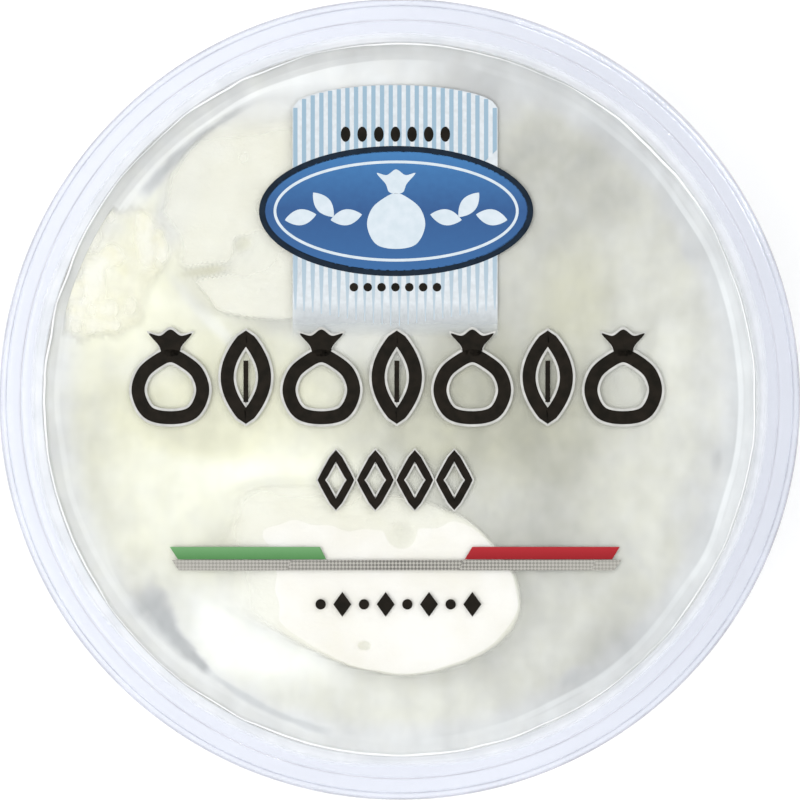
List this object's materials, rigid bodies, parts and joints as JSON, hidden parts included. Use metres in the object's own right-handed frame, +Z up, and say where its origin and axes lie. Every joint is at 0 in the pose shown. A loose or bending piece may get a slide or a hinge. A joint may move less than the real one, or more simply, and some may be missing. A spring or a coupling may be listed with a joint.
{
  "type": "sealed tub of small burratas",
  "caption": "Shut round clear tub of small burratas in whey: tapered wall, rolled flange, clear sealed film lid, tied cheese pouches inside.",
  "frame": {"origin": "under the middle of the tub, in the plane of the foot that it stands on", "axes": "+Z up through the film lid; +Y towards the back, where the lid's print has its top"},
  "size_m": [0.116, 0.116, 0.0422],
  "materials": {
    "tub_plastic": "thin clear thermoformed plastic with a faint blue tint",
    "lid_film": "clear heat-sealed lidding film",
    "burrata_cheese": "moist, smooth, soft white stretched-curd cheese"
  },
  "bodies": {
    "root": {"tub": "tub_plastic", "lid_film": "lid_film", "burrata_back_left": "burrata_cheese", "burrata_front": "burrata_cheese", "burrata_right": "burrata_cheese"}
  },
  "joints": []
}
